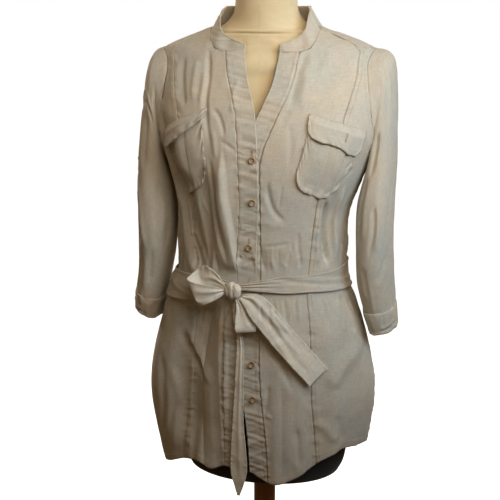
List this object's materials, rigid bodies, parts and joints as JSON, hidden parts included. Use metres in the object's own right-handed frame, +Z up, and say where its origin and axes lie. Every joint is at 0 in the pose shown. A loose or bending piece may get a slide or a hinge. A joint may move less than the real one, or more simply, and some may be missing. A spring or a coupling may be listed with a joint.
{
  "type": "safari jacket on a dress form",
  "caption": "Linen safari jacket with a stand collar, flapped chest pockets, turned-up sleeves and a tied belt, on a limbless dress form with a pole and a round foot.",
  "frame": {"origin": "centre of the foot's underside, on the pole's axis", "axes": "+Z up the pole, -Y the way the jacket's front faces, +X the wearer's left"},
  "size_m": [0.5009, 0.34, 1.468],
  "materials": {
    "linen": "matt plain-weave linen, stone beige",
    "button_horn": "brown horn look, satin",
    "form_jersey": "matt cream jersey stretched over the form",
    "form_black_jersey": "matt black jersey",
    "dark_wood": "dark brown stain, satin"
  },
  "bodies": {
    "root": {"front_left": "linen", "front_right": "linen", "side_front_left": "linen", "side_front_right": "linen", "front_band_right": "linen", "button_band_left": "linen", "back": "linen", "collar": "linen", "sleeve_left": "linen", "sleeve_right": "linen", "cuff_left": "linen", "cuff_right": "linen", "pocket_left": "linen", "pocket_right": "linen", "flap_left": "linen", "flap_right": "linen", "belt_band": "linen", "belt_knot": "linen", "bow_loop": "linen", "hanging_loop": "linen", "slanting_end": "linen", "hanging_end": "linen", "button_1": "button_horn", "button_2": "button_horn", "button_3": "button_horn", "button_4": "button_horn", "button_5": "button_horn", "button_6": "button_horn", "button_7": "button_horn", "form_torso": "form_jersey", "form_neck": "form_jersey", "form_lower_end": "form_black_jersey", "pole": "dark_wood", "foot": "dark_wood"}
  },
  "joints": []
}
